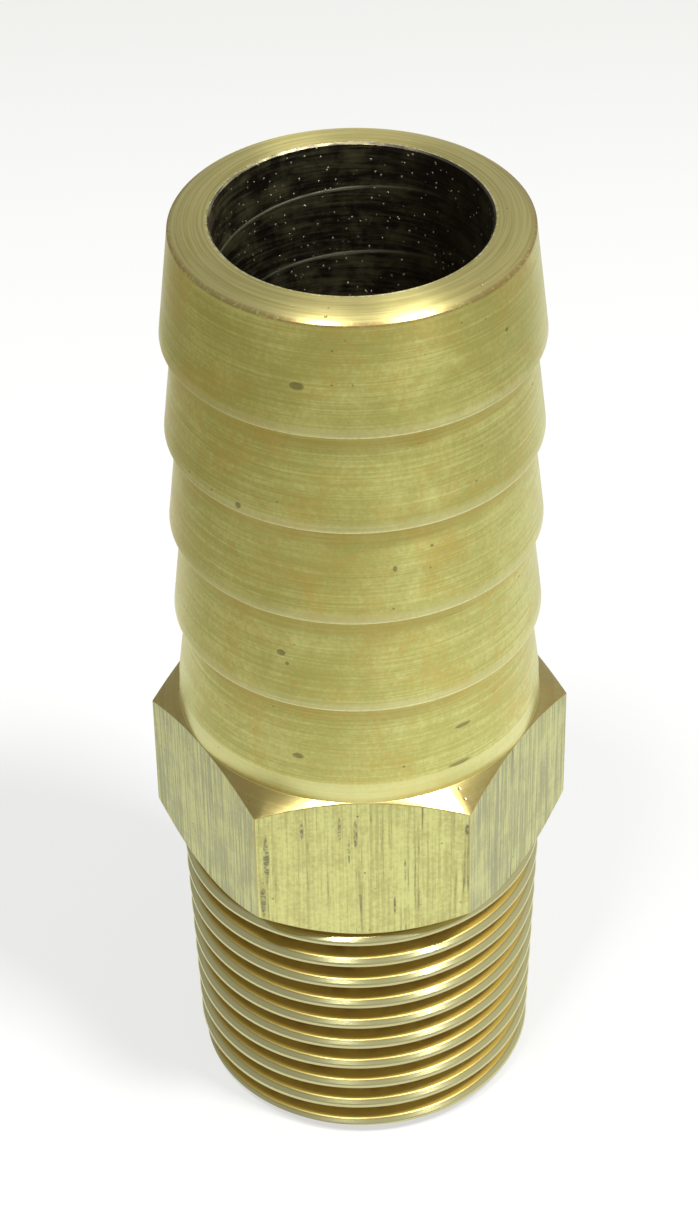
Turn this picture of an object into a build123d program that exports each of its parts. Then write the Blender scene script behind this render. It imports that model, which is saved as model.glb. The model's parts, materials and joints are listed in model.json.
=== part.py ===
from build123d import *
import math
import os

# Brass hose tail, turned from hexagon bar in one piece: a male taper pipe thread,
# a hexagon for the wrench and a barbed tail that a hose is pushed over.
# Millimetres, +Z up along the axis, origin at the middle of the threaded end face.
# The hexagon has flats towards -Y and +Y and corners towards -X and +X.

# Male taper pipe thread, 3/8 in size, right-handed, with sharp crests and roots
thread_pitch = 25.4 / 18
thread_taper = 1 / 16
thread_end_diameter = 16.38
thread_length = 13.8
flank_angle = 30
lowest_crest = 0.57
end_chamfer = 0.6

# Hexagon, turned to a cone at each end
hex_across_flats = 16.95
hex_length = 8.2
hex_underside_diameter = 16.8
lower_cone_angle = 42
upper_cone_angle = 32

# Tail: saw-tooth barbs, each a cone that widens downwards and then steps in
barb_count = 4
barb_pitch = 4.92
barb_crest_diameter = 16.9
barb_root_diameter = 15.8
tip_length = 5.56
neck_length = 5.38
neck_diameter = 16.8
neck_land = 0.25
foot_height = 1.05
foot_diameter = 16.9
rim_chamfer_height = 0.32
rim_chamfer_width = 0.2

# Waterway, drilled right through
bore_diameter = 12.1

# Margin by which a cutting or trimming shape passes the surface that it works on
clearance_past_surface = 0.05

# How far the thread's own solid reaches inside the wall of the waterway, which is cut later
thread_core_depth = 1

# Heights along the axis
hex_bottom = thread_length
hex_top = hex_bottom + hex_length
last_crest = hex_top + neck_length
first_crest = last_crest + (barb_count - 1) * barb_pitch
total_length = first_crest + tip_length

# Slopes: radius gained for each millimetre of height
thread_slope = thread_taper / 2
barb_slope = (barb_crest_diameter - barb_root_diameter) / 2 / barb_pitch


def thread_radius(height):
    return thread_end_diameter / 2 + height * thread_slope


def revolved(outline):
    # A closed outline of (radius, height) points, turned about the axis
    points = [(radius, 0, height) for radius, height in outline]
    return revolve(make_face(Polyline(*points, close=True)), Axis.Z)


def helix_turn(bottom, radius, cone_angle=0):
    # One turn of a helix that begins at the front; on a cone, the pitch is measured along the slope
    return Rot(0, 0, -90) * Helix(
        pitch=thread_pitch / math.cos(math.radians(cone_angle)),
        height=thread_pitch,
        radius=radius,
        center=(0, 0, bottom),
        cone_angle=cone_angle,
    )


def screw():
    # Two flanks for each turn, from below the end face to inside the hexagon, closed to a solid
    depth = thread_pitch / 2 / math.tan(math.radians(flank_angle))
    taper_angle = math.degrees(math.atan(thread_slope))
    core_radius = bore_diameter / 2 - thread_core_depth
    bottom = lowest_crest - 2 * thread_pitch
    turns = math.ceil((thread_length - bottom) / thread_pitch) + 1
    crests = []
    roots = []
    cores = []
    for index in range(turns + 2):
        crest = bottom + index * thread_pitch
        root = crest - thread_pitch / 2
        crests.append(helix_turn(crest, thread_radius(crest), taper_angle))
        roots.append(helix_turn(root, thread_radius(root) - depth, taper_angle))
        cores.append(helix_turn(root, core_radius))
    faces = []
    for index in range(turns):
        faces.append(Face.make_surface_from_curves(roots[index], crests[index]))
        faces.append(Face.make_surface_from_curves(crests[index], roots[index + 1]))
        faces.append(Face.make_surface_from_curves(cores[index], cores[index + 1]))
    for index in (0, turns):
        faces.append(Face.make_surface_from_curves(cores[index], roots[index]))
        corners = [cores[index], roots[index], crests[index], roots[index + 1], cores[index + 1]]
        faces.append(Face(Wire.make_polygon([edge @ 0 for edge in corners], close=True)))
    return Solid(Shell(faces))


def threaded_end():
    # The screw, cut off square at both ends, with a 45 degree chamfer where the thread starts
    inner = (bore_diameter - thread_core_depth) / 2
    start = thread_end_diameter / 2 - end_chamfer
    reach = thread_radius(thread_length) + clearance_past_surface
    return screw() & revolved([
        (inner, 0),
        (start, 0),
        (reach, reach - start),
        (reach, thread_length),
        (inner, thread_length),
    ])


def hexagon():
    # Hexagon bar inside an envelope with a cone at each end
    across_corners = hex_across_flats / math.cos(math.radians(30))
    reach = across_corners / 2 + clearance_past_surface
    underside = hex_underside_diameter / 2
    foot = foot_diameter / 2
    lower_rise = (reach - underside) * math.tan(math.radians(lower_cone_angle))
    upper_fall = (reach - foot) * math.tan(math.radians(upper_cone_angle))
    envelope = revolved([
        (0, hex_bottom),
        (underside, hex_bottom),
        (reach, hex_bottom + lower_rise),
        (reach, hex_top - upper_fall),
        (foot, hex_top),
        (0, hex_top),
    ])
    bar = extrude(RegularPolygon(hex_across_flats / 2, 6, major_radius=False), hex_length)
    return Pos(0, 0, hex_bottom) * bar & envelope


def barbed_tail():
    # Outline from the neck up: its flared foot, a land, a cone, then one saw tooth for each barb
    crest = barb_crest_diameter / 2
    root = barb_root_diameter / 2
    neck = neck_diameter / 2
    foot_top = hex_top + foot_height
    outline = [(0, hex_top), (foot_diameter / 2, hex_top), (neck, foot_top), (neck, foot_top + neck_land)]
    for index in range(barb_count):
        step = last_crest + index * barb_pitch
        outline.append((root, step))
        outline.append((crest, step))
    shoulder = total_length - rim_chamfer_height
    shoulder_radius = crest - (shoulder - first_crest) * barb_slope
    outline.append((shoulder_radius, shoulder))
    outline.append((shoulder_radius - rim_chamfer_width, total_length))
    outline.append((0, total_length))
    return revolved(outline)


def waterway():
    length = total_length + 2 * clearance_past_surface
    return Pos(0, 0, total_length / 2) * Cylinder(bore_diameter / 2, length)


def hose_tail():
    return threaded_end() + hexagon() + barbed_tail() - waterway()


os.makedirs("parts", exist_ok=True)
body = hose_tail()
export_step(body, "parts/hose_tail.step")
print("length", round(total_length, 3), "volume", round(body.volume, 1), "valid", body.is_valid)
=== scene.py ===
import json
import math
import bpy
import bmesh
from mathutils import Matrix, Vector


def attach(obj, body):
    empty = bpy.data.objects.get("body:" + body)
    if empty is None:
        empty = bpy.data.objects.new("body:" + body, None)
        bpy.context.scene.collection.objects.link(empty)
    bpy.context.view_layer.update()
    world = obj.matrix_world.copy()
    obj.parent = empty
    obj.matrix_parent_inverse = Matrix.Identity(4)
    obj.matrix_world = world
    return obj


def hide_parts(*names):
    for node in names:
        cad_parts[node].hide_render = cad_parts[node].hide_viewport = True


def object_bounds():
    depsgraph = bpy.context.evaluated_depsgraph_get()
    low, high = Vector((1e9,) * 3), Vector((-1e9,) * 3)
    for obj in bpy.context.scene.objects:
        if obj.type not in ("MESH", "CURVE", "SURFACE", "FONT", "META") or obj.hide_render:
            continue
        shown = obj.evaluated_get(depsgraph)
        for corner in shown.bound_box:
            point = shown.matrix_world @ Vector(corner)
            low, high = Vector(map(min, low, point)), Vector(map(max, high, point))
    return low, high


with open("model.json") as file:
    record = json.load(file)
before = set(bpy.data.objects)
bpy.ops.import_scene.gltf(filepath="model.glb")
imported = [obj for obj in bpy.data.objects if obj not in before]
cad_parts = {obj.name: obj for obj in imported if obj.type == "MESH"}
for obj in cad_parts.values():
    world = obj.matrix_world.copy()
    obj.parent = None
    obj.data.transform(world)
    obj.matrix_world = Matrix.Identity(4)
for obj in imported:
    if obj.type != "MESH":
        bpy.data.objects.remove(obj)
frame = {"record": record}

# Brass hose tail on a pale table. Sizes are in millimetres until a shape is finished.
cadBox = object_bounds()
millimetre = 0.001
partHeight = cadBox[1].z / millimetre
mounts = {mount["name"]: mount for mount in frame["record"]["mounts"]}
boreRadius = mounts["waterway"]["dims"]["r_mm"]
flatDistance = -mounts["wrench_flat"]["pos_m"][1] / millimetre
finishes = ["turnedBrass", "drawnBrass", "threadBrass", "boreOxide"]  # order of the material slots
roundSteps = 192  # straight steps in a full circle
weldDistance = 0.0001  # points closer than this become one
print("frame loaded, part height", round(partHeight, 2), "mm")


# Helpers for the shapes

def outlineWire(bm, outline, loose=0):
    # Each point is a radius, a height and its rounding. Only the edges stay, without the last 'loose' points
    corners = [bm.verts.new((radius, 0, height)) for radius, height, rounding in outline]
    bm.faces.new(corners)
    helpers = corners[len(corners) - loose:]
    for rounding in sorted({point[2] for point in outline if point[2] > 0}):
        chosen = [corner for corner, point in zip(corners, outline) if point[2] == rounding]
        bmesh.ops.bevel(bm, geom=chosen, offset=rounding, offset_type="OFFSET", segments=3,
                        profile=0.5, affect="VERTICES", material=-1)
    bmesh.ops.delete(bm, geom=list(bm.faces), context="FACES_KEEP_BOUNDARY")
    if loose:
        bmesh.ops.delete(bm, geom=helpers, context="VERTS")
    return list(bm.verts) + list(bm.edges)


def giveFinish(faces, finish):
    for face in faces:
        face.material_index = finishes.index(finish)


def spunSolid(outline, finish):
    # A closed outline turned about the axis
    bm = bmesh.new()
    wire = outlineWire(bm, outline)
    bmesh.ops.spin(bm, geom=wire, cent=(0, 0, 0), axis=(0, 0, 1), dvec=(0, 0, 0),
                   angle=math.tau, steps=roundSteps, use_merge=True)
    bmesh.ops.remove_doubles(bm, verts=bm.verts, dist=weldDistance)
    bmesh.ops.recalc_face_normals(bm, faces=bm.faces)
    giveFinish(bm.faces, finish)
    return bm


def cutOff(bm, point, outward):
    # Cuts along a plane, drops what lies outward of it and returns the edges of the cut
    cut = bmesh.ops.bisect_plane(bm, geom=list(bm.verts) + list(bm.edges) + list(bm.faces),
                                 dist=weldDistance, plane_co=point, plane_no=outward, clear_outer=True)
    return [item for item in cut["geom_cut"] if isinstance(item, bmesh.types.BMEdge)]


def meshObject(name, bm, surfaces):
    mesh = bpy.data.meshes.new(name)
    bm.to_mesh(mesh)
    bm.free()
    for surface in surfaces:
        mesh.materials.append(surface)
    made = bpy.data.objects.new(name, mesh)
    bpy.context.scene.collection.objects.link(made)
    return made


def combine(piece, other, operation):
    # A boolean that uses up the other object
    boolean = piece.modifiers.new(operation.lower(), "BOOLEAN")
    boolean.operation = operation
    boolean.solver = "MANIFOLD"
    boolean.object = other
    bpy.context.view_layer.update()
    finished = bpy.data.meshes.new_from_object(piece.evaluated_get(bpy.context.evaluated_depsgraph_get()))
    old = piece.data
    piece.modifiers.clear()
    piece.data = finished
    finished.name = old.name
    bpy.data.meshes.remove(old)
    bpy.data.objects.remove(other)


# Threaded end

thread = {
    "pitch": 25.4 / 18,
    "radiusAtEnd": 8.19,
    "slope": 1 / 32,  # radius gained for each millimetre of height
    "crestFlat": 0.2,
    "rootFlat": 0.06,
    "flankAngle": 30,
    "crestRounding": 0.06,
    "rootRounding": 0.025,
    "lowestCrest": 0.57,  # height of the first crest at the front
    "endChamfer": 0.6,
    "length": 13.8,
    "stepsPerTurn": 144,
    "backing": 2,  # depth behind the roots of the points that only close the outline
    "past": 0.4,  # how far the helix runs past both ends before it is trimmed
    "weld": 0.0005,  # one turn is joined to the next within this
    "room": 1.5,  # how far the trimming envelope stands off the thread
    "overlap": 0.01,  # how far the thread reaches into the hexagon
}


def makeThread():
    # One pitch of the section, spun up a helix, then tapered
    pitch = thread["pitch"]
    crest = thread["radiusAtEnd"]
    halfCrest = thread["crestFlat"] / 2
    rise = (pitch - thread["crestFlat"] - thread["rootFlat"]) / 2
    root = crest - rise / math.tan(math.radians(thread["flankAngle"]))
    back = root - thread["backing"]
    start = thread["lowestCrest"] - 2 * pitch
    turns = math.ceil((thread["length"] - start) / pitch) + 1
    bm = bmesh.new()
    wire = outlineWire(bm, [
        (crest, start, 0),
        (crest, start + halfCrest, thread["crestRounding"]),
        (root, start + halfCrest + rise, thread["rootRounding"]),
        (root, start + pitch - halfCrest - rise, thread["rootRounding"]),
        (crest, start + pitch - halfCrest, thread["crestRounding"]),
        (crest, start + pitch, 0),
        (back, start + pitch, 0),
        (back, start, 0),
    ], loose=2)
    bmesh.ops.rotate(bm, verts=bm.verts, cent=(0, 0, 0), matrix=Matrix.Rotation(-math.pi / 2, 3, "Z"))
    bmesh.ops.spin(bm, geom=wire, cent=(0, 0, 0), axis=(0, 0, 1), angle=math.tau, use_merge=False,
                   dvec=(0, 0, pitch / thread["stepsPerTurn"]), steps=thread["stepsPerTurn"])
    firstTurn = list(bm.verts) + list(bm.edges) + list(bm.faces)
    for turn in range(1, turns):
        copy = bmesh.ops.duplicate(bm, geom=firstTurn)
        copied = [item for item in copy["geom"] if isinstance(item, bmesh.types.BMVert)]
        bmesh.ops.translate(bm, verts=copied, vec=(0, 0, turn * pitch))
    bmesh.ops.remove_doubles(bm, verts=bm.verts, dist=thread["weld"])
    for vert in bm.verts:
        vert.co.xy *= 1 + vert.co.z * thread["slope"] / vert.co.xy.length
    cutOff(bm, (0, 0, -thread["past"]), (0, 0, -1))
    cutOff(bm, (0, 0, thread["length"] + thread["past"]), (0, 0, 1))
    bmesh.ops.holes_fill(bm, edges=[edge for edge in bm.edges if edge.is_boundary], sides=0)
    bmesh.ops.recalc_face_normals(bm, faces=bm.faces)
    giveFinish(bm.faces, "threadBrass")
    return bm


def makeThreadEnvelope():
    # Keeps the thread between the end face, its chamfer and the hexagon
    outer = thread["radiusAtEnd"] + thread["room"]
    start = thread["radiusAtEnd"] - thread["endChamfer"]
    top = thread["length"] + thread["overlap"]
    return spunSolid([
        (0, 0, 0),
        (start, 0, 0),
        (outer, outer - start, 0),
        (outer, top, 0),
        (0, top, 0),
    ], "threadBrass")


# Hexagon

hexagon = {
    "length": 8.2,
    "undersideRadius": 8.4,
    "topRadius": 8.45,
    "lowerCone": 42,
    "upperCone": 32,
    "edgeBreak": 0.035,
    "past": 0.3,  # how far the cones run past the corners before the flats are cut
    "under": 1,  # how far the upper cone runs in under the tail
}
hexTop = thread["length"] + hexagon["length"]


def makeHexagon():
    # A double cone, then six flats cut on it, their edges lightly broken
    bottom = thread["length"]
    reach = flatDistance / math.cos(math.radians(30)) + hexagon["past"]
    lowerRise = (reach - hexagon["undersideRadius"]) * math.tan(math.radians(hexagon["lowerCone"]))
    upperSlope = math.tan(math.radians(hexagon["upperCone"]))
    innerTop = hexTop + hexagon["under"] * upperSlope
    bm = spunSolid([
        (0, bottom, 0),
        (hexagon["undersideRadius"], bottom, 0),
        (reach, bottom + lowerRise, 0),
        (reach, hexTop - (reach - hexagon["topRadius"]) * upperSlope, 0),
        (hexagon["topRadius"] - hexagon["under"], innerTop, 0),
        (0, innerTop, 0),
    ], "turnedBrass")
    for side in range(6):
        outward = Matrix.Rotation(math.radians(60 * side - 90), 3, "Z") @ Vector((1, 0, 0))
        rim = cutOff(bm, outward * flatDistance, outward)
        giveFinish(bmesh.ops.contextual_create(bm, geom=rim)["faces"], "drawnBrass")
    bmesh.ops.recalc_face_normals(bm, faces=bm.faces)
    flats = [face for face in bm.faces if face.material_index == finishes.index("drawnBrass")]
    edges = list({edge for face in flats for edge in face.edges})
    bmesh.ops.bevel(bm, geom=edges, offset=hexagon["edgeBreak"], offset_type="OFFSET", segments=2,
                    profile=0.5, affect="EDGES", material=finishes.index("turnedBrass"),
                    clamp_overlap=True)
    return bm


# Barbed tail

tail = {
    "barbCount": 4,
    "barbPitch": 4.92,
    "crestRadius": 8.45,
    "rootRadius": 7.9,
    "neckLength": 5.38,
    "neckRadius": 8.4,
    "neckLand": 0.25,
    "footHeight": 1.05,
    "footRadius": hexagon["topRadius"],
    "rimHeight": 0.32,
    "rimWidth": 0.2,
    "crownWidth": 0.62,  # outer part of the end face, turned a little downwards
    "crownDrop": 0.19,
    "crestRounding": 0.07,
    "rootRounding": 0.1,
    "rimRounding": 0.03,
    "faceRounding": 0.12,
    "crownRounding": 0.35,
    "footRounding": 0.02,
    "sunk": 2,  # how far the tail's own shape reaches down into the hexagon
    "flareDepth": 0.5,  # where its foot begins to widen, below the hexagon's top
}
footTop = hexTop + tail["footHeight"]
lastCrest = hexTop + tail["neckLength"]


def makeTail():
    # From inside the hexagon up: a flared foot, a land, a cone, one saw tooth for each barb, the rim
    crest = tail["crestRadius"]
    neck = tail["neckRadius"]
    outline = [
        (0, hexTop - tail["sunk"], 0),
        (neck, hexTop - tail["sunk"], 0),
        (neck, hexTop - tail["flareDepth"], 0),
        (tail["footRadius"], hexTop, 0),
        (neck, footTop, tail["footRounding"]),
        (neck, footTop + tail["neckLand"], 0),
    ]
    for index in range(tail["barbCount"]):
        step = lastCrest + index * tail["barbPitch"]
        outline.append((tail["rootRadius"], step, tail["rootRounding"]))
        outline.append((crest, step, tail["crestRounding"]))
    barbSlope = (crest - tail["rootRadius"]) / tail["barbPitch"]
    shoulder = partHeight - tail["rimHeight"]
    shoulderRadius = crest - (shoulder - step) * barbSlope
    faceRadius = shoulderRadius - tail["rimWidth"]
    outline.append((shoulderRadius, shoulder, tail["rimRounding"]))
    outline.append((faceRadius, partHeight - tail["crownDrop"], tail["faceRounding"]))
    outline.append((faceRadius - tail["crownWidth"], partHeight, tail["crownRounding"]))
    outline.append((0, partHeight, 0))
    return spunSolid(outline, "turnedBrass")


# Waterway

bore = {
    "edgeBreak": 0.08,
    "past": 1,  # how far the drill runs past both ends
}


def makeBoreCutter():
    # A drill through the whole length, with a light break at both mouths
    wide = boreRadius + bore["edgeBreak"] + bore["past"]
    return spunSolid([
        (0, -bore["past"], 0),
        (wide, -bore["past"], 0),
        (boreRadius, bore["edgeBreak"], 0),
        (boreRadius, partHeight - bore["edgeBreak"], 0),
        (wide, partHeight + bore["past"], 0),
        (0, partHeight + bore["past"], 0),
    ], "boreOxide")


# Helpers for the shader nodes

def feed(tree, socket, value):
    # A number or a colour is set on the socket, and another node's output is linked to it
    if isinstance(value, tuple):
        socket.default_value = (*value, 1)
    elif isinstance(value, (int, float)):
        socket.default_value = value
    else:
        tree.links.new(value, socket)


def addMath(tree, operation, *values):
    node = tree.nodes.new("ShaderNodeMath")
    node.operation = operation
    for socket, value in zip(node.inputs, values):
        feed(tree, socket, value)
    return node.outputs[0]


def addProduct(tree, *values):
    product = values[0]
    for value in values[1:]:
        product = addMath(tree, "MULTIPLY", product, value)
    return product


def addSum(tree, *shares):
    # Each share is a value and how much of it goes in
    total = 0
    for value, amount in shares:
        total = addMath(tree, "MULTIPLY_ADD", value, amount, total)
    return total


def addMost(tree, *values):
    most = values[0]
    for value in values[1:]:
        most = addMath(tree, "MAXIMUM", most, value)
    return most


def addDistance(tree, x, y):
    return addMath(tree, "SQRT", addMath(tree, "MULTIPLY_ADD", x, x, addProduct(tree, y, y)))


def addRamp(tree, value, low, high, kind="SMOOTHSTEP"):
    # 0 at low, 1 at high, and level past them; low may be the larger of the two
    node = tree.nodes.new("ShaderNodeMapRange")
    node.interpolation_type = kind
    tree.links.new(value, node.inputs["Value"])
    flipped = low > high
    node.inputs["From Min"].default_value = min(low, high)
    node.inputs["From Max"].default_value = max(low, high)
    node.inputs["To Min"].default_value = 1 if flipped else 0
    node.inputs["To Max"].default_value = 0 if flipped else 1
    return node.outputs[0]


def addMix(tree, factor, first, second):
    node = tree.nodes.new("ShaderNodeMix")
    node.data_type = "RGBA"
    for index, value in ((0, factor), (6, first), (7, second)):
        feed(tree, node.inputs[index], value)
    return node.outputs[2]


def addNoise(tree, place, scale, detail=2, roughness=0.5, distortion=0):
    node = tree.nodes.new("ShaderNodeTexNoise")
    tree.links.new(place, node.inputs["Vector"])
    feed(tree, node.inputs["Scale"], scale)
    node.inputs["Detail"].default_value = detail
    node.inputs["Roughness"].default_value = roughness
    node.inputs["Distortion"].default_value = distortion
    return node.outputs["Fac"]


def addVector(tree, x, y, z):
    node = tree.nodes.new("ShaderNodeCombineXYZ")
    for socket, value in zip(node.inputs, (x, y, z)):
        feed(tree, socket, value)
    return node.outputs[0]


def splitVector(tree, vector):
    node = tree.nodes.new("ShaderNodeSeparateXYZ")
    tree.links.new(vector, node.inputs[0])
    return node.outputs


def addBump(tree, height, strength, distance):
    node = tree.nodes.new("ShaderNodeBump")
    node.inputs["Strength"].default_value = strength
    node.inputs["Distance"].default_value = distance * millimetre
    tree.links.new(height, node.inputs["Height"])
    return node.outputs[0]


# Shader groups: each is built once and placed with its own values

def startGroup(name, inputs):
    # The inputs are numbers, given with their usual values
    group = bpy.data.node_groups.new(name, "ShaderNodeTree")
    for label, value in inputs.items():
        socket = group.interface.new_socket(name=label, in_out="INPUT", socket_type="NodeSocketFloat")
        socket.default_value = value
    return group, group.nodes.new("NodeGroupInput").outputs


def endGroup(group, results):
    for label, value in results.items():
        kind = "NodeSocketVector" if value.type == "VECTOR" else "NodeSocketFloat"
        group.interface.new_socket(name=label, in_out="OUTPUT", socket_type=kind)
    outlet = group.nodes.new("NodeGroupOutput")
    for label, value in results.items():
        group.links.new(value, outlet.inputs[label])
    return group


def placeGroup(tree, name, values=None):
    node = tree.nodes.new("ShaderNodeGroup")
    node.node_tree = shared[name]
    for label, value in (values or {}).items():
        node.inputs[label].default_value = value
    return node.outputs


def makeAroundAxis():
    # Object coordinates in millimetres, and the same place as seen from the axis
    group = startGroup("aroundAxis", {})[0]
    place = group.nodes.new("ShaderNodeTexCoord")
    scaled = group.nodes.new("ShaderNodeVectorMath")
    scaled.operation = "SCALE"
    scaled.inputs["Scale"].default_value = 1 / millimetre
    group.links.new(place.outputs["Object"], scaled.inputs[0])
    x, y, z = splitVector(group, scaled.outputs[0])
    radius = addDistance(group, x, y)
    return endGroup(group, {
        "Position": scaled.outputs[0],
        "Radius": radius,
        "Height": z,
        "Turn X": addMath(group, "DIVIDE", x, radius),
        "Turn Y": addMath(group, "DIVIDE", y, radius),
        "Azimuth": addMath(group, "ARCTAN2", y, x),
    })


def makeTurningMarks():
    # Fine rings that a lathe tool leaves and broader bands, both broken up round the axis
    group, inlet = startGroup("turningMarks", {"Ring Density": 9.0, "Ring Length": 1.5})
    bandDensity = 0.9
    around = placeGroup(group, "aroundAxis")
    along = addMath(group, "ADD", around["Height"], around["Radius"])
    turnX = addProduct(group, around["Turn X"], inlet["Ring Length"])
    turnY = addProduct(group, around["Turn Y"], inlet["Ring Length"])
    fine = addVector(group, turnX, turnY, addProduct(group, along, inlet["Ring Density"]))
    coarse = addVector(group, turnX, turnY, addProduct(group, along, bandDensity))
    return endGroup(group, {
        "Rings": addNoise(group, fine, 1, 4, 0.65),
        "Bands": addNoise(group, coarse, 1),
    })


def makeHandling():
    # Cloudy dullness and small dark pits
    group, inlet = startGroup("handling", {"Cloud Size": 3.0, "Pit Size": 0.6, "Pit Share": 0.06})
    place = placeGroup(group, "aroundAxis")["Position"]
    cloudScale = addMath(group, "DIVIDE", 1, inlet["Cloud Size"])
    pitScale = addMath(group, "DIVIDE", 1, inlet["Pit Size"])
    grit = addNoise(group, place, pitScale, 1, 0.5, 0.8)
    cells = group.nodes.new("ShaderNodeTexVoronoi")
    group.links.new(place, cells.inputs["Vector"])
    group.links.new(pitScale, cells.inputs["Scale"])
    chance = addMath(group, "FRACT", addProduct(group, cells.outputs["Color"], 7.31))
    picked = addMath(group, "LESS_THAN", chance, inlet["Pit Share"])
    shape = addRamp(group, addSum(group, (cells.outputs["Distance"], 1), (grit, 0.25)), 0.36, 0.2)
    return endGroup(group, {
        "Clouds": addNoise(group, place, cloudScale, 4, 0.6, 0.4),
        "Pits": addProduct(group, picked, shape),
    })


shared = {}
for groupName, maker in (("aroundAxis", makeAroundAxis), ("turningMarks", makeTurningMarks),
                         ("handling", makeHandling)):
    shared[groupName] = maker()


# Materials

def startMetal(name):
    material = bpy.data.materials.new(name)
    material.use_nodes = True
    tree = material.node_tree
    tree.nodes.clear()
    shader = tree.nodes.new("ShaderNodeBsdfPrincipled")
    shader.inputs["Metallic"].default_value = 1
    output = tree.nodes.new("ShaderNodeOutputMaterial")
    tree.links.new(shader.outputs[0], output.inputs[0])
    return material, tree, shader.inputs


def layGrain(tree, surface, around, amount):
    # The grain of turned metal runs round the axis, and a quarter turn lays its highlights across it
    turnBack = addProduct(tree, around["Turn Y"], -1)
    tree.links.new(addVector(tree, turnBack, around["Turn X"], 0), surface["Tangent"])
    surface["Anisotropic"].default_value = amount
    surface["Anisotropic Rotation"].default_value = 0.25


def addSpot(tree, around, azimuth, height, halfWidth, halfHeight):
    # An oval mark on the outside
    turn = math.radians(azimuth)
    across = addSum(tree, (around["Turn Y"], math.cos(turn)), (around["Turn X"], -math.sin(turn)))
    facing = addSum(tree, (around["Turn X"], math.cos(turn)), (around["Turn Y"], math.sin(turn)))
    sideways = addMath(tree, "DIVIDE", addProduct(tree, across, around["Radius"]), halfWidth)
    upward = addMath(tree, "DIVIDE", addMath(tree, "SUBTRACT", around["Height"], height), halfHeight)
    oval = addRamp(tree, addDistance(tree, sideways, upward), 1.15, 0.75)
    return addProduct(tree, oval, addMath(tree, "GREATER_THAN", facing, 0))


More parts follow.
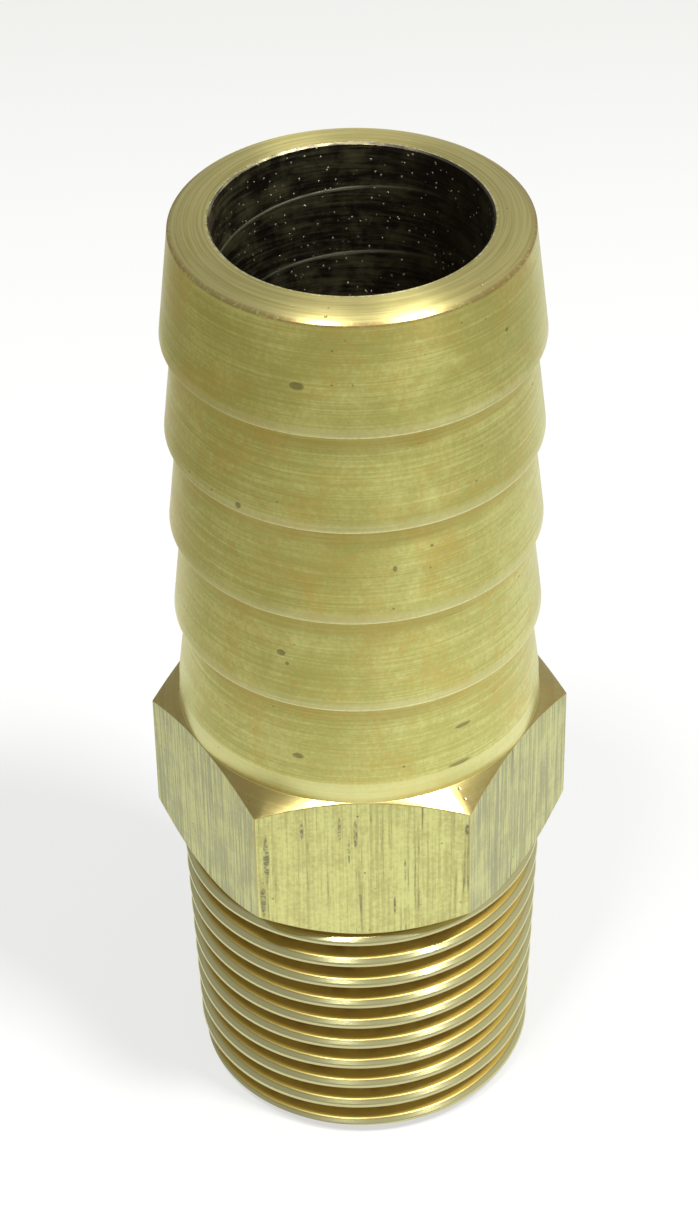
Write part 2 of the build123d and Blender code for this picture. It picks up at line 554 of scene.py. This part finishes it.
def makeTurnedBrass():
    look = {
        "bright": (0.86, 0.86, 0.35),
        "dull": (0.6, 0.58, 0.185),
        "warm": (0.7, 0.53, 0.15),
        "crest": (0.93, 0.91, 0.55),
        "foot": (0.9, 0.89, 0.43),
        "face": (0.76, 0.67, 0.29),
        "groove": (0.58, 0.5, 0.18),
        "brown": (0.44, 0.27, 0.12),
        "pit": (0.16, 0.12, 0.06),
        "roughness": (0.27, 0.38),
        "faceRoughness": 0.12,  # how much rougher the end face is, as a share
        "grain": 0.78,
        "toneRange": (0.57, 0.93),
        "warmRange": (0.46, 0.62),
        "warmShare": 0.55,
        "edge": (0.16, 0.04),  # heights above a barb's crest edge, where nothing and all of it shows
        "glow": (0.7, 0.15),
        "shade": (1.1, 0.65),  # depths below the next crest edge
        "stainAndShade": (0.4, 0.1),  # heights above the hexagon, for the painted shade in its corner
        "burrGlint": (0.22, 0.1),  # distances outside the bore
        "rimLine": (0.14, 0.03),  # distances from the rim's lower edge
        "edgeWearAndHighlightShare": 0.8,
        "paintedGlowShare": 0.35,
        "paintedShadeShare": 0.8,
        "footSheenShare": 0.6,
        "faceShare": 0.85,
        "rimShare": 0.7,
        "coneShare": 0.5,
        "dashShare": 0.6,
        "darkShare": 0.6,
        "spots": [  # azimuth, height, half width, half height
            (-107.2, 44.47, 0.33, 0.2),
            (-114.9, 30.02, 0.22, 0.16),
            (-112.8, 29.53, 0.1, 0.1),
            (-110.0, 24.34, 0.28, 0.14),
            (-55.7, 25.11, 0.45, 0.1),
            (-57.9, 23.18, 0.6, 0.12),
            (-78.8, 35.0, 0.1, 0.16),
            (-127.1, 37.6, 0.16, 0.16),
            (-38.3, 45.2, 0.12, 0.1),
        ],
    }
    material, tree, surface = startMetal("turned brass")
    around = placeGroup(tree, "aroundAxis")
    marks = placeGroup(tree, "turningMarks", {"Ring Density": 11.0, "Ring Length": 0.9})
    dashes = placeGroup(tree, "turningMarks", {"Ring Density": 16.0, "Ring Length": 7.0})
    use = placeGroup(tree, "handling", {"Cloud Size": 3.5, "Pit Size": 0.33, "Pit Share": 0.03})
    height = around["Height"]
    mottle = addNoise(tree, around["Position"], 5.5, 3, 0.65)

    # Bright and dull brass, with warmer clouds
    tone = addSum(tree, (use["Clouds"], 0.5), (mottle, 0.3), (marks["Rings"], 0.6))
    colour = addMix(tree, addRamp(tree, tone, *look["toneRange"]), look["dull"], look["bright"])
    broad = addNoise(tree, around["Position"], 0.32, 4, 0.6, 0.6)
    fine = addNoise(tree, around["Position"], 3.4, 3, 0.65)
    warmth = addRamp(tree, addSum(tree, (broad, 0.6), (fine, 0.4)), *look["warmRange"])
    colour = addMix(tree, addProduct(tree, warmth, look["warmShare"]), colour, look["warm"])

    # Bright crest edges, partly edge wear and partly painted highlight, a painted glow above them and a warm
    # painted shade under them
    margin = 1  # how far these colours may reach past the lowest and the highest crest edge
    pitch = tail["barbPitch"]
    above = addMath(tree, "SUBTRACT", height, lastCrest)
    within = addProduct(tree, addMath(tree, "FRACT", addMath(tree, "DIVIDE", above, pitch)), pitch)
    toNext = addMath(tree, "SUBTRACT", pitch, within)
    barbed = addProduct(tree, addMath(tree, "GREATER_THAN", above, -margin), addMath(
        tree, "LESS_THAN", above, pitch * (tail["barbCount"] - 1) + margin))
    edge = addProduct(tree, addRamp(tree, within, *look["edge"]), barbed, addRamp(tree, mottle, 0.3, 0.5))
    glow = addProduct(tree, addRamp(tree, within, *look["glow"]), barbed)
    shade = addProduct(tree, addRamp(tree, toNext, *look["shade"]), barbed)

    # The flared foot, made paler as a painted reflection, and painted shade in the corner where it meets the
    # hexagon
    overHex = addMath(tree, "GREATER_THAN", height, hexTop - 0.02)
    foot = addProduct(tree, overHex, addRamp(tree, height, footTop + 0.03, footTop - 0.03))
    cornerShadeHigh, cornerShadeLow = look["stainAndShade"]
    stainAndShade = addProduct(tree, overHex, addRamp(tree, height, hexTop + cornerShadeHigh, hexTop + cornerShadeLow))
    shade = addProduct(tree, addMost(tree, shade, stainAndShade), mottle, look["paintedShadeShare"])
    colour = addMix(tree, addProduct(tree, foot, look["footSheenShare"]), colour, look["foot"])
    colour = addMix(tree, shade, colour, look["warm"])
    colour = addMix(tree, addProduct(tree, glow, look["paintedGlowShare"]), colour, look["crest"])
    colour = addMix(tree, addProduct(tree, edge, look["edgeWearAndHighlightShare"]), colour, look["crest"])

    # The end face with its burr along the bore, made pale as a painted glint, the line under its rim, and
    # the hexagon's cones, browned as a painted reflection
    face = addMath(tree, "GREATER_THAN", height, partHeight - tail["crownDrop"] - 0.06)
    grooved = addMix(tree, addRamp(tree, marks["Rings"], 0.36, 0.6), look["groove"], look["face"])
    colour = addMix(tree, addProduct(tree, face, look["faceShare"]), colour, grooved)
    mouth = addRamp(tree, addMath(tree, "SUBTRACT", around["Radius"], boreRadius), *look["burrGlint"])
    burrGlint = addProduct(tree, face, mouth, addRamp(tree, mottle, 0.48, 0.56))
    colour = addMix(tree, burrGlint, colour, look["crest"])
    fromRim = addMath(tree, "ABSOLUTE", addMath(tree, "SUBTRACT", height, partHeight - tail["rimHeight"]))
    rim = addProduct(tree, addRamp(tree, fromRim, *look["rimLine"]), addRamp(tree, mottle, 0.35, 0.5))
    # Painted reflection: the hexagon's cones are mixed towards brown
    outside = addMath(tree, "GREATER_THAN", around["Radius"], tail["footRadius"] + 0.03)
    cone = addProduct(tree, outside, addMath(tree, "LESS_THAN", height, hexTop))
    brown = addMost(tree, addProduct(tree, rim, look["rimShare"]), addProduct(tree, cone, look["coneShare"]))
    colour = addMix(tree, brown, colour, look["brown"])

    # Pits, short dark dashes along the turning, and single spots
    dashed = addProduct(tree, addRamp(tree, dashes["Rings"], 0.33, 0.24), look["dashShare"])
    spots = [addSpot(tree, around, *spot) for spot in look["spots"]]
    dark = addMost(tree, use["Pits"], dashed, *spots)
    colour = addMix(tree, addProduct(tree, dark, look["darkShare"]), colour, look["pit"])
    tree.links.new(colour, surface["Base Color"])

    smooth, rough = look["roughness"]
    worn = addRamp(tree, addSum(tree, (use["Clouds"], 0.5), (marks["Bands"], 0.5)), 0.3, 0.7, "LINEAR")
    roughness = addMath(tree, "MULTIPLY_ADD", worn, rough - smooth, smooth)
    duller = addMath(tree, "MULTIPLY_ADD", face, look["faceRoughness"], 1)
    tree.links.new(addProduct(tree, roughness, duller), surface["Roughness"])
    relief = addMath(tree, "SUBTRACT", marks["Rings"], dark)
    tree.links.new(addBump(tree, relief, 0.5, 0.02), surface["Normal"])
    layGrain(tree, surface, around, look["grain"])
    return material


def makeDrawnBrass():
    look = {
        "bright": (0.74, 0.74, 0.3),
        "dull": (0.54, 0.51, 0.2),
        "grey": (0.35, 0.36, 0.2),
        "streak": (0.15, 0.14, 0.1),
        "roughness": 0.4,
        "toneRange": (0.43, 0.66),
        "greyShare": (0.25, 0.8),  # least and most grey on the flats beside the front one
        "darkShare": 0.8,
        "streaks": [  # azimuth, height, half width, half height
            (-97.0, 20.41, 0.07, 0.8),
            (-92.1, 20.09, 0.1, 0.9),
            (-94.2, 19.17, 0.06, 0.9),
            (-108.0, 20.46, 0.08, 0.6),
            (-77.1, 17.87, 0.06, 0.7),
            (-80.3, 15.67, 0.06, 0.6),
            (-60.6, 20.27, 0.1, 0.35),
            (-117.5, 18.6, 0.13, 1.5),
            (-118.6, 16.2, 0.12, 1.2),
        ],
    }
    material, tree, surface = startMetal("drawn brass")
    around = placeGroup(tree, "aroundAxis")
    use = placeGroup(tree, "handling", {"Cloud Size": 1.4, "Pit Size": 0.3, "Pit Share": 0.05})
    x, y, z = splitVector(tree, around["Position"])
    drawn = addVector(tree, addProduct(tree, x, 7), addProduct(tree, y, 7), addProduct(tree, z, 0.16))
    streaks = addNoise(tree, drawn, 1, 4, 0.6)
    grit = addNoise(tree, around["Position"], 5, 3, 0.65)
    tone = addSum(tree, (streaks, 0.5), (grit, 0.3), (use["Clouds"], 0.3))
    colour = addMix(tree, addRamp(tree, tone, *look["toneRange"]), look["dull"], look["bright"])

    # All flats but the front one are greyer and more streaked: the streaks are the metal's own, the greying
    # is painted shade
    beside = addRamp(tree, around["Turn Y"], -0.875, -0.855)
    blotch = addSum(tree, (streaks, 0.75), (use["Clouds"], 0.25))
    least, most = look["greyShare"]
    sideFlatShade = addMath(tree, "MULTIPLY_ADD", addRamp(tree, blotch, 0.6, 0.4), most - least, least)
    colour = addMix(tree, addProduct(tree, beside, sideFlatShade), colour, look["grey"])

    # Dark streaks and pits
    thinStreaksAndLitSide = addProduct(tree, addRamp(tree, streaks, 0.44, 0.32), addRamp(tree, use["Clouds"], 0.4, 0.7))
    broken = addRamp(tree, grit, 0.35, 0.6)
    single = [addProduct(tree, addSpot(tree, around, *streak), broken) for streak in look["streaks"]]
    dark = addMost(tree, thinStreaksAndLitSide, use["Pits"], *single)
    colour = addMix(tree, addProduct(tree, dark, look["darkShare"]), colour, look["streak"])
    tree.links.new(colour, surface["Base Color"])
    surface["Roughness"].default_value = look["roughness"]
    tree.links.new(addBump(tree, streaks, 0.5, 0.03), surface["Normal"])
    return material


def makeThreadBrass():
    # Polished crests and shoulders, dull brown-gold flanks: depths are counted from the crests inwards.
    # Towards the roots it is darker, partly dirt and partly painted shade
    look = {
        "crest": (0.56, 0.53, 0.28),
        "shoulder": (0.74, 0.7, 0.36),
        "flank": (0.48, 0.35, 0.075),
        "deep": (0.32, 0.18, 0.03),
        "roughness": (0.11, 0.75),
        "shoulderDepth": (0.002, 0.015),
        "flankDepth": (0.14, 0.34),
        "roughDepth": (0.22, 0.34),
        "darkeningDepth": (0.3, 0.9),
    }
    material, tree, surface = startMetal("thread brass")
    around = placeGroup(tree, "aroundAxis")
    marks = placeGroup(tree, "turningMarks", {"Ring Density": 14.0, "Ring Length": 2.5})
    use = placeGroup(tree, "handling", {"Cloud Size": 1.6, "Pit Size": 0.6, "Pit Share": 0.05})
    full = addMath(tree, "MULTIPLY_ADD", around["Height"], thread["slope"], thread["radiusAtEnd"])
    depth = addMath(tree, "SUBTRACT", full, around["Radius"])
    colour = addMix(tree, addRamp(tree, depth, *look["shoulderDepth"]), look["crest"], look["shoulder"])
    colour = addMix(tree, addRamp(tree, depth, *look["flankDepth"]), colour, look["flank"])
    # Dirt and painted shade: darker and browner towards the roots, in cloudy patches
    stainAndShade = addProduct(tree, addRamp(tree, depth, *look["darkeningDepth"]),
                       addRamp(tree, use["Clouds"], 0.4, 0.65))
    colour = addMix(tree, stainAndShade, colour, look["deep"])
    tree.links.new(colour, surface["Base Color"])
    smooth, rough = look["roughness"]
    dulled = addRamp(tree, depth, *look["roughDepth"])
    tree.links.new(addMath(tree, "MULTIPLY_ADD", dulled, rough - smooth, smooth), surface["Roughness"])
    tree.links.new(addBump(tree, marks["Rings"], 0.05, 0.02), surface["Normal"])
    return material


def makeBoreOxide():
    look = {
        "oxide": (0.07, 0.055, 0.045),
        "stainAndShade": (0.55, 0.5, 0.27),
        "bare": (0.95, 0.92, 0.7),
        "speck": (0.95, 0.93, 0.75),
        "scratchLead": 3.35,
        "scratchHeight": 45.31,  # where the scratch crosses its azimuth
        "scratchAzimuth": 100,
        "scratchWidth": 0.12,
        "roughness": 0.42,
        "stainRange": (0.4, 0.68),
        "stainAndLightShare": (0.25, 1),  # on the dark side and on the lit side
    }
    material, tree, surface = startMetal("bore oxide")
    around = placeGroup(tree, "aroundAxis")
    marks = placeGroup(tree, "turningMarks", {"Ring Density": 5.0, "Ring Length": 2.0})
    use = placeGroup(tree, "handling", {"Cloud Size": 1.1, "Pit Size": 0.26, "Pit Share": 0.4})
    tone = addSum(tree, (marks["Rings"], 0.5), (use["Clouds"], 0.5))

    # Painted light: the bore is paler towards -X, the lit side, and darker towards +X, the shaded side
    thinStreaksAndLitSide = addRamp(tree, around["Turn X"], 0.75, -0.2)
    least, most = look["stainAndLightShare"]
    stainedAndLit = addProduct(tree, addRamp(tree, tone, *look["stainRange"]), addMath(
        tree, "MULTIPLY_ADD", thinStreaksAndLitSide, most - least, least))
    colour = addMix(tree, stainedAndLit, look["oxide"], look["stainAndShade"])
    colour = addMix(tree, use["Pits"], colour, look["speck"])

    # The scratch is a left-handed helix: its height falls as the azimuth grows
    lead = look["scratchLead"]
    turned = addMath(tree, "SUBTRACT", around["Azimuth"], math.radians(look["scratchAzimuth"]))
    offset = addMath(tree, "MULTIPLY_ADD", turned, lead / math.tau, addMath(
        tree, "SUBTRACT", around["Height"], look["scratchHeight"]))
    manyLeads = lead * 40  # keeps the number above zero over the whole length
    nearest = addMath(tree, "PINGPONG", addMath(tree, "ADD", offset, manyLeads), lead / 2)
    # The scratch is painted brighter on the lit side too
    scratch = addProduct(tree, addRamp(tree, nearest, look["scratchWidth"], 0), thinStreaksAndLitSide,
                         addRamp(tree, marks["Bands"], 0.28, 0.5))
    colour = addMix(tree, scratch, colour, look["bare"])
    tree.links.new(colour, surface["Base Color"])
    surface["Roughness"].default_value = look["roughness"]
    relief = addSum(tree, (use["Clouds"], 0.5), (addMost(tree, use["Pits"], scratch), 0.8))
    tree.links.new(addBump(tree, relief, 0.7, 0.05), surface["Normal"])
    return material


materials = {
    "turnedBrass": makeTurnedBrass(),
    "drawnBrass": makeDrawnBrass(),
    "threadBrass": makeThreadBrass(),
    "boreOxide": makeBoreOxide(),
}
print("materials made")


# The brass piece

sharpAngle = 28  # edges that turn more than this stay sharp
surfaces = [materials[finish] for finish in finishes]
brass = meshObject("hose_tail_brass", makeThread(), surfaces)
print("thread spun", len(brass.data.polygons), "faces")
for operation, name, maker in (("INTERSECT", "threadEnvelope", makeThreadEnvelope),
                               ("UNION", "hexagon", makeHexagon),
                               ("UNION", "tail", makeTail),
                               ("DIFFERENCE", "boreCutter", makeBoreCutter)):
    combine(brass, meshObject(name, maker(), surfaces), operation)
brass.data.transform(Matrix.Scale(millimetre, 4))
brass.data.shade_smooth()
brass.data.set_sharp_from_angle(angle=math.radians(sharpAngle))
weighted = brass.modifiers.new("weighted", "WEIGHTED_NORMAL")
weighted.keep_sharp = True
weighted.mode = "FACE_AREA"
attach(brass, "root")
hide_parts("hose_tail")
print("brass piece made,", len(brass.data.polygons), "faces")


# Table, camera and lamps

def makeTable():
    table = {
        "size": 1600,
        "colour": (0.61, 0.62, 0.615),
        "far": (0.29, 0.268, 0.185),
        "lift": 0.6,  # share of plain white that the camera and the metal see
        "middle": 16,  # x of the middle of the painted pool of light
        "fade": (47, 73),  # distances from there over which the painted pool of light darkens, for all rays but the camera's
        "behind": (50, 125),  # y over which painted shade greys it a little, for the camera too
        "behindShare": 0.2,
    }
    material = bpy.data.materials.new("table white")
    material.use_nodes = True
    tree = material.node_tree
    tree.nodes.clear()
    output = tree.nodes.new("ShaderNodeOutputMaterial")
    matt = tree.nodes.new("ShaderNodeBsdfDiffuse")
    glow = tree.nodes.new("ShaderNodeEmission")
    glow.inputs["Strength"].default_value = 1
    path = tree.nodes.new("ShaderNodeLightPath").outputs
    x, y, z = splitVector(tree, placeGroup(tree, "aroundAxis")["Position"])
    # Painted light on the table: a pool of light round x = middle that fades with distance, and painted
    # shade on the far part behind
    aside = addMath(tree, "SUBTRACT", x, table["middle"])
    distance = addDistance(tree, aside, addMath(tree, "MINIMUM", y, 0))
    fade = addRamp(tree, distance, *table["fade"], "LINEAR")
    unseen = addMath(tree, "SUBTRACT", 1, path["Is Camera Ray"])
    behind = addRamp(tree, y, *table["behind"])
    fade = addMost(tree, addProduct(tree, fade, unseen), addProduct(tree, behind, table["behindShare"]))
    tree.links.new(addMix(tree, fade, (1, 1, 1), table["far"]), glow.inputs["Color"])
    tree.links.new(addMix(tree, fade, table["colour"], table["far"]), matt.inputs["Color"])
    seen = addMost(tree, path["Is Camera Ray"], path["Is Glossy Ray"], path["Is Transmission Ray"])
    mix = tree.nodes.new("ShaderNodeMixShader")
    tree.links.new(addProduct(tree, seen, table["lift"]), mix.inputs[0])
    tree.links.new(matt.outputs[0], mix.inputs[1])
    tree.links.new(glow.outputs[0], mix.inputs[2])
    tree.links.new(mix.outputs[0], output.inputs[0])
    bm = bmesh.new()
    bmesh.ops.create_grid(bm, x_segments=1, y_segments=1, size=table["size"] * millimetre / 2)
    floor = meshObject("table", bm, [material])


def makeCamera():
    view = {
        "lens": 99.87,
        "sensor": 36,
        "elevation": 38.531,
        "distance": 156.184,
        "roll": -1.056,
        "target": Vector((-0.418, 0, 26.472)),
        "nearest": 10,
    }
    tilt = math.radians(view["elevation"])
    roll = math.radians(view["roll"])
    back = Vector((0, -math.cos(tilt), math.sin(tilt)))
    level = Vector((1, 0, 0))
    upward = back.cross(level)
    right = level * math.cos(roll) + upward * math.sin(roll)
    up = upward * math.cos(roll) - level * math.sin(roll)
    data = bpy.data.cameras.new("camera")
    data.lens = view["lens"]
    data.sensor_width = view["sensor"]
    data.sensor_fit = "AUTO"
    data.clip_start = view["nearest"] * millimetre
    camera = bpy.data.objects.new("camera", data)
    camera.matrix_world = Matrix((right, up, back)).transposed().to_4x4()
    camera.location = (view["target"] + back * view["distance"]) * millimetre
    bpy.context.scene.collection.objects.link(camera)
    bpy.context.scene.camera = camera


def makeLamp(name, azimuth, elevation, distance, size, power, colour):
    # A soft square lamp that faces the part's middle
    middle = Vector((0, 0, partHeight / 2 * millimetre))
    turn = math.radians(azimuth)
    rise = math.radians(elevation)
    toward = Vector((math.cos(rise) * math.cos(turn), math.cos(rise) * math.sin(turn), math.sin(rise)))
    data = bpy.data.lights.new(name, "AREA")
    data.shape = "SQUARE"
    data.size = size
    data.energy = power
    data.color = colour
    lamp = bpy.data.objects.new(name, data)
    lamp.location = middle + toward * distance
    lamp.rotation_euler = toward.to_track_quat("Z", "Y").to_euler()
    bpy.context.scene.collection.objects.link(lamp)


def makeLight():
    # The room's colour on each side, and each lamp's azimuth, elevation, distance, size, power and colour
    light = {
        "left side": (0.35, 0.355, 0.35),
        "right side": (0.58, 0.58, 0.56),
        "small lamp": (-120, 68, 0.7, 0.1, 2.6, (1, 1, 1)),
        "large lamp": (-34, 63, 0.7, 0.11, 4.9, (1, 0.99, 0.97)),
    }
    world = bpy.data.worlds.new("room")
    world.use_nodes = True
    tree = world.node_tree
    place = tree.nodes.new("ShaderNodeTexCoord")
    x, y, z = splitVector(tree, place.outputs["Generated"])
    colour = addMix(tree, addRamp(tree, x, -1, 1), light["left side"], light["right side"])
    tree.links.new(colour, tree.nodes["Background"].inputs["Color"])
    bpy.context.scene.world = world
    for name in ("small lamp", "large lamp"):
        makeLamp(name, *light[name])
    bpy.context.scene.view_settings.view_transform = "Standard"


makeTable()
makeCamera()
makeLight()
print("table, camera and lamps placed")
